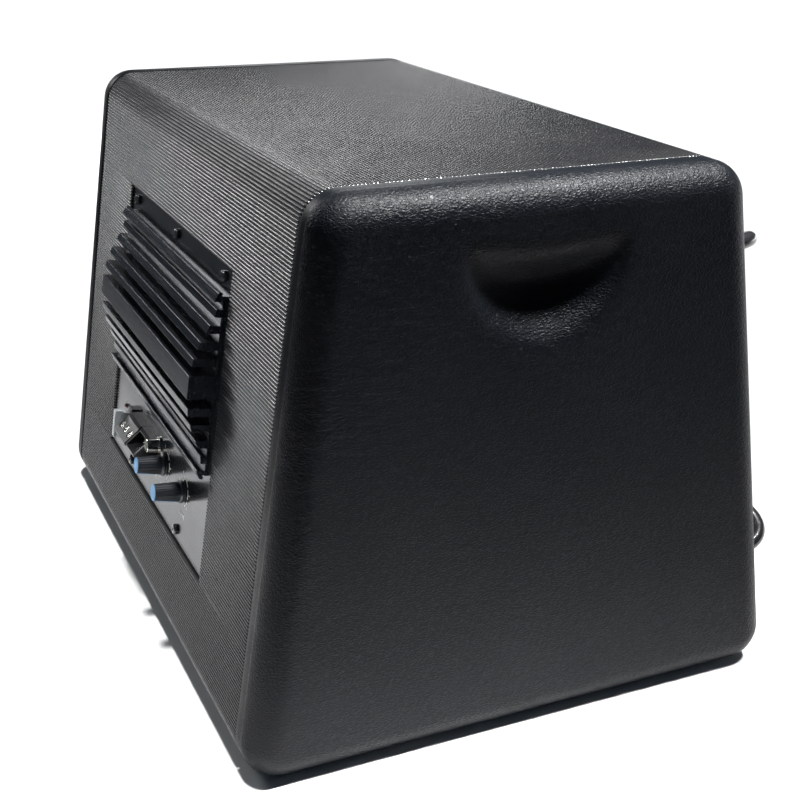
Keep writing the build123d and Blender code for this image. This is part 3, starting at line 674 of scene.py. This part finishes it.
def vinyl_finish():
    """Glossy ribbed vinyl: dull valleys between the ribs darkened with painted shade, knots along them, and
    beads on the lid.
    """
    s = Surface("ribbed vinyl", IOR=1.5, Specular_IOR_Level=0.5)
    tone = s.blend(s.ranged(s.noise(14.0, 5.0), 0.35, 0.7), (0.011, 0.0112, 0.012), (0.022, 0.022, 0.0225))
    scratch = s.ranged(s.noise(30.0, 3.0, 0.5, source=s.stretch((0.5, 7.0, 7.0))), 0.735, 0.76)
    tone = s.blend(s.math("MULTIPLY", scratch, 0.35), tone, (0.16, 0.16, 0.155))
    crest = s.node("ShaderNodeAttribute", {}, "Fac", attribute_name="crest")
    # painted shade: the base colour darkens to near black down in the valleys between the ribs
    tone = s.blend(s.ranged(crest, 0.15, 0.75, 1.0, 0.0, smooth=True), tone, (0.0008, 0.0009, 0.0012))
    s.colour(tone)
    speck = s.cells(1150.0)
    uneven = s.ranged(s.noise(26.0, 4.0, 0.6), 0.3, 0.7, 0.13, 0.20)
    uneven = s.math("ADD", uneven, s.ranged(crest, 0.25, 0.7, 0.42, 0.0, smooth=True))
    s.roughness(s.math("ADD", uneven, s.ranged(speck, 0.1, 0.6, -0.05, 0.05)))
    knots = s.node("ShaderNodeTexWave", {"Vector": s.coords, "Scale": 262.0, "Distortion": 2.2, "Detail": 1.0,
                                         "Detail Scale": 2.5}, "Fac", bands_direction="X")
    s.bump(knots, 0.45, 0.00007)
    beads = s.noise(1.0, 2.0, 0.5, source=s.stretch((760.0, 520.0, 520.0)))
    lid = s.ranged(s.along("Z"), HEIGHT - 0.006, HEIGHT - 0.0012, smooth=True)
    s.bump(s.math("MULTIPLY", beads, s.ranged(lid, 0.0, 1.0, 0.34, 1.0)), 0.8, 0.00034)
    glints = s.noise(1.0, 1.0, 0.5, source=s.stretch((380.0, 300.0, 300.0)))
    s.bump(s.math("MULTIPLY", glints, lid), 0.8, 0.00040)
    twill = s.noise(1.0, 2.0, 0.5, source=s.stretch((1500.0, 1500.0, 1500.0)))
    s.bump(twill, 0.4, 0.00005)
    return s


def leather_finish():
    """Moulded leather grain on the end caps, with painted shade in its creases and a plain band beside the
    wrap.
    """
    s = Surface("moulded leather grain", IOR=1.42, Specular_IOR_Level=0.13)
    warp_inputs = {"Vector": s.coords, "Scale": 210.0, "Detail": 3.0, "Roughness": 0.55}
    warp = s.node("ShaderNodeTexNoise", warp_inputs, "Color")
    shift = (0.0042, 0.0042, 0.0042)
    shifted = s.node("ShaderNodeVectorMath", {0: warp, 1: shift}, "Vector", operation="MULTIPLY")
    moved = s.node("ShaderNodeVectorMath", {0: s.coords, 1: shifted}, "Vector", operation="ADD")
    creased = s.stretch((560.0, 340.0, 680.0), source=moved)
    folds = s.ranged(s.cells(1.0, "DISTANCE_TO_EDGE", source=creased), 0.0, 0.32, 0.0, 1.0, smooth=True)
    swell = s.noise(1.0, 4.0, 0.65, source=s.stretch((620.0, 300.0, 760.0), source=moved))
    pores = s.noise(1500.0, 3.0, 0.6)
    band_end = CAP_START + BAND
    face = s.ranged(s.math("ABSOLUTE", s.along("X")), band_end - 0.0006, band_end + 0.0012, smooth=True)
    patches = s.ranged(s.noise(9.0, 5.0), 0.35, 0.68)
    # painted shade: the base colour darkens along the creases of the grain
    crease_shade = s.math("MULTIPLY", s.ranged(folds, 0.0, 0.5, 1.0, 0.0), 0.5)
    tone = s.blend(patches, (0.0016, 0.0024, 0.0040), (0.0034, 0.0042, 0.0058))
    tone = s.blend(crease_shade, tone, (0.0014, 0.0019, 0.0028))
    s.colour(tone)
    uneven = s.ranged(s.noise(21.0, 5.0, 0.65), 0.3, 0.72, 0.33, 0.44)
    s.roughness(s.math("ADD", uneven, s.ranged(folds, 0.0, 1.0, 0.08, -0.03)))
    height = s.math("ADD", s.math("MULTIPLY", folds, 0.62), s.math("MULTIPLY", swell, 0.9))
    s.bump(s.math("MULTIPLY", height, face), 0.75, 0.00030)
    s.bump(s.math("MULTIPLY", pores, face), 0.6, 0.00012)
    return s


def extrusion_finish():
    """Black anodised extrusion with faint die lines along its length."""
    s = Surface("black anodised extrusion", Metallic=0.75)
    lines = s.noise(1.0, 4.0, 0.7, source=s.stretch((9.0, 2600.0, 2600.0)))
    s.colour(s.blend(s.ranged(lines, 0.35, 0.65), (0.030, 0.033, 0.041), (0.056, 0.060, 0.072)))
    streaks = s.noise(1.0, 4.0, 0.6, source=s.stretch((30.0, 700.0, 700.0)))
    s.roughness(s.ranged(streaks, 0.3, 0.7, 0.18, 0.30))
    s.bump(lines, 0.25, 0.00006)
    return s


def cone_finish():
    """Coated pulp with short fibres."""
    s = Surface("coated paper cone")
    fibres = s.noise(1.0, 4.0, 0.7, source=s.stretch((420.0, 1300.0, 800.0)))
    s.colour(s.blend(s.ranged(s.noise(60.0, 5.0), 0.3, 0.7), (0.014, 0.014, 0.0145), (0.027, 0.027, 0.028)))
    s.roughness(s.ranged(fibres, 0.3, 0.7, 0.5, 0.68))
    s.bump(fibres, 0.5, 0.00018)
    return s


def board_finish():
    """Bare fibreboard inside the box."""
    s = Surface("fibreboard")
    fibres = s.noise(1.0, 5.0, 0.7, source=s.stretch((500.0, 900.0, 900.0)))
    s.colour(s.blend(s.ranged(fibres, 0.35, 0.7), (0.30, 0.20, 0.115), (0.50, 0.37, 0.24)))
    s.roughness(s.ranged(fibres, 0.3, 0.7, 0.72, 0.85))
    s.bump(fibres, 0.4, 0.0002)
    return s


def cloth_finish():
    """Woven cotton set in resin."""
    s = Surface("phenolic cotton")
    threads = {"Vector": s.coords, "Scale": 320.0}
    ways = [s.node("ShaderNodeTexWave", threads, "Fac", bands_direction=way) for way in "XZ"]
    weave = s.math("MULTIPLY", *ways)
    s.colour(s.blend(weave, (0.30, 0.19, 0.07), (0.52, 0.38, 0.17)))
    s.roughness(s.ranged(weave, 0.0, 1.0, 0.75, 0.9))
    s.bump(weave, 0.5, 0.00025)
    return s


finishes = {
    "vinyl": vinyl_finish(),
    "cap_plastic": leather_finish(),
    "anodised": extrusion_finish(),
    "paper": cone_finish(),
    "mdf": board_finish(),
    "spider_cloth": cloth_finish(),
    "plate_paint": plain_finish(
        "black anodised plate", (0.060, 0.062, 0.068), (0.082, 0.084, 0.090), (0.16, 0.24), patch=18,
        grain=2300, grain_depth=0.00003, grain_strength=0.4, scuffs=0.05, Metallic=0.9),
    "black_screw": plain_finish(
        "black oxide", (0.020, 0.020, 0.021), (0.034, 0.034, 0.035), (0.10, 0.20), patch=160, grain=1800,
        grain_depth=0.00002, Coat_Weight=0.6, Coat_Roughness=0.08),
    "steel": plain_finish(
        "zinc plate", (0.50, 0.50, 0.50), (0.66, 0.65, 0.62), (0.26, 0.42), patch=120, grain=2200,
        Metallic=1.0),
    "nickel": plain_finish(
        "nickel plate", (0.60, 0.59, 0.56), (0.76, 0.75, 0.72), (0.13, 0.27), patch=180, grain=2400,
        grain_depth=0.00003, Metallic=1.0),
    "copper": plain_finish(
        "enamelled copper", (0.48, 0.20, 0.08), (0.70, 0.34, 0.16), (0.25, 0.4), patch=90,
        stretch=(1500.0, 1500.0, 200.0), grain=1.0, grain_depth=0.0002, Metallic=0.9),
    "black_plastic": plain_finish(
        "moulded black plastic", (0.005, 0.005, 0.006), (0.011, 0.011, 0.012), (0.30, 0.45), patch=110,
        grain=1900, grain_depth=0.00006, scuffs=0.12),
    "knob_plastic": plain_finish(
        "knob plastic", (0.009, 0.012, 0.018), (0.016, 0.020, 0.027), (0.34, 0.48), patch=130,
        grain=2100, grain_depth=0.00005, scuffs=0.10),
    "knob_blue": plain_finish(
        "blue knob cap", (0.040, 0.235, 0.500), (0.065, 0.300, 0.580), (0.28, 0.42), patch=150,
        grain=2000, grain_depth=0.00004),
    "phono_white": plain_finish(
        "white print and moulding", (0.66, 0.66, 0.64), (0.80, 0.80, 0.78), (0.34, 0.5), patch=200,
        grain=2300, grain_depth=0.00003),
    "fuse_clear": plain_finish(
        "clear fuse moulding", (0.74, 0.78, 0.80), (0.88, 0.90, 0.91), (0.10, 0.22), patch=190,
        grain=1500, grain_depth=0.00003, Transmission_Weight=0.65, IOR=1.49),
    "led_lens": plain_finish(
        "tinted lens", (0.30, 0.13, 0.15), (0.44, 0.20, 0.23), (0.10, 0.2), patch=300, grain=2000,
        grain_depth=0.00002, Transmission_Weight=0.35, IOR=1.5),
    "foam": plain_finish(
        "closed-cell foam", (0.014, 0.014, 0.014), (0.026, 0.026, 0.026), (0.8, 0.95), patch=200,
        grain=1300, grain_depth=0.0003, grain_strength=0.7),
    "rubber": plain_finish(
        "satin rubber", (0.010, 0.010, 0.0105), (0.018, 0.018, 0.0185), (0.38, 0.52), patch=70,
        grain=1700, grain_depth=0.00007, scuffs=0.06),
    "dust_gloss": plain_finish(
        "satin dust cap", (0.011, 0.011, 0.012), (0.018, 0.018, 0.019), (0.20, 0.33), patch=50,
        grain=1500, grain_depth=0.00004, Coat_Weight=0.3, Coat_Roughness=0.18),
    "basket_paint": plain_finish(
        "basket paint", (0.013, 0.013, 0.014), (0.023, 0.023, 0.024), (0.34, 0.48), patch=60, grain=1300,
        grain_depth=0.00009, scuffs=0.10),
    "ferrite": plain_finish(
        "ferrite", (0.040, 0.040, 0.041), (0.085, 0.085, 0.085), (0.6, 0.78), patch=90, grain=1200,
        grain_depth=0.0002, grain_strength=0.6),
    "bar_gloss": plain_finish(
        "gloss powder coat", (0.008, 0.008, 0.009), (0.014, 0.014, 0.015), (0.16, 0.28), patch=45,
        grain=700, grain_depth=0.00010, grain_strength=0.3, scuffs=0.10, Coat_Weight=0.35,
        Coat_Roughness=0.12),
    "pcb": plain_finish(
        "solder mask", (0.012, 0.075, 0.032), (0.020, 0.110, 0.050), (0.25, 0.4), patch=150, grain=1400,
        grain_depth=0.00008),
    "electronics": plain_finish(
        "sleeved components", (0.014, 0.014, 0.017), (0.035, 0.036, 0.045), (0.3, 0.45), patch=120,
        grain=1600, grain_depth=0.00006),
}

slot_of = {s["node"]: s["material_slot"] for s in record["subparts"]}
for node_name, obj in frame["nodes"].items():
    if node_name in slot_of:
        obj.data.materials.clear()
        obj.data.materials.append(finishes[slot_of[node_name]].mat)
own_pieces = [(cap, "cap_plastic") for cap in caps]
own_pieces += [(wrap, "vinyl"), (pocket_skin, "vinyl"), (surround, "rubber"), (spider, "spider_cloth")]
own_pieces += [(printed, "phono_white")]
for obj, slot in own_pieces:
    obj.data.materials.clear()
    obj.data.materials.append(finishes[slot].mat)

# ---------------------------------------------------------------- stage, light and camera

FLOOR_REACH = 6
FLOOR_DROP = 0.0003
PANEL_HEIGHT = 2.6
floor_corners = [(x * FLOOR_REACH, y * FLOOR_REACH, 0) for x, y in ((-1, -1), (1, -1), (1, 1), (-1, 1))]
floor = mesh_object("floor", floor_corners, [(0, 1, 2, 3)], smooth=False)
floor.location.z = -FLOOR_DROP
paper = plain_finish("pale floor", (0.86, 0.86, 0.86), (0.90, 0.90, 0.90), (0.7, 0.85), patch=3, grain=300,
                     grain_depth=0.00005)
floor.data.materials.append(paper.mat)


def area_light(name, at, target, size, power, spread=180):
    light = bpy.data.lights.new(name, "AREA")
    light.spread = math.radians(spread)
    light.shape = "RECTANGLE"
    light.size, light.size_y = size
    light.energy = power
    obj = bpy.data.objects.new(name, light)
    obj.location = at
    obj.rotation_euler = (Vector(target) - Vector(at)).to_track_quat("-Z", "Y").to_euler()
    obj.visible_camera = False
    bpy.context.scene.collection.objects.link(obj)
    return obj


def floor_light(name, middle, size, turn, power, spread):
    """A panel straight above the floor whose narrow beam lights a soft-edged rectangle of it."""
    light = area_light(name, (*middle, PANEL_HEIGHT), (*middle, 0.0), size, power, spread)
    light.rotation_euler = (0, 0, math.radians(turn))


area_light("key", (1.70, 0.77, 1.03), (-0.14, 0.12, 0.27), (0.4, 0.5), 0.34, spread=30)
area_light("far_panel", (3.5, -1.35, 1.15), (0.0, 0.0, 0.3), (0.9, 0.6), 1.2, spread=70)
area_light("edge", (-0.40, -0.62, 1.77), (-0.16, 0.0, 0.31), (0.3, 0.3), 3.4, spread=22)
floor_light("floor_panel", (1.98, -1.89), (5.2, 3.9), -8.5, 83, 6)
floor_light("near_panel", (-0.42, -0.42), (0.25, 0.5), 0, 0.4, 18)
area_light("front_fill", (0.2, -1.7, 0.15), (0.05, -0.1, 0.15), (1.2, 0.26), 3.0)
area_light("side_fill", (1.7, -0.1, 0.15), (0.2, 0.0, 0.15), (0.9, 0.26), 2.0)

world = bpy.data.worlds.new("studio")
bpy.context.scene.world = world
world.use_nodes = True
background = world.node_tree.nodes["Background"].inputs
background["Color"].default_value = (0.60, 0.78, 1.0, 1.0)
background["Strength"].default_value = 0.05

forward = Vector((0.8436, -0.3858, -0.3735)).normalized()
right = Vector((-0.4159, -0.9094, 0.0)).normalized()
up = right.cross(forward).normalized()
ROLL = 0.0147
right, up = right * math.cos(ROLL) + up * math.sin(ROLL), up * math.cos(ROLL) - right * math.sin(ROLL)
camera_data = bpy.data.cameras.new("camera")
camera_data.lens = 59.35
camera_data.sensor_width = 36.0
camera_data.clip_start = 0.02
camera = bpy.data.objects.new("camera", camera_data)
turn = Matrix((right, up, -forward)).transposed().to_4x4()
turn.translation = Vector((-0.7702, 0.3345, 0.4541))
camera.matrix_world = turn
bpy.context.scene.collection.objects.link(camera)
bpy.context.scene.camera = camera
bpy.context.scene.view_settings.view_transform = "Standard"
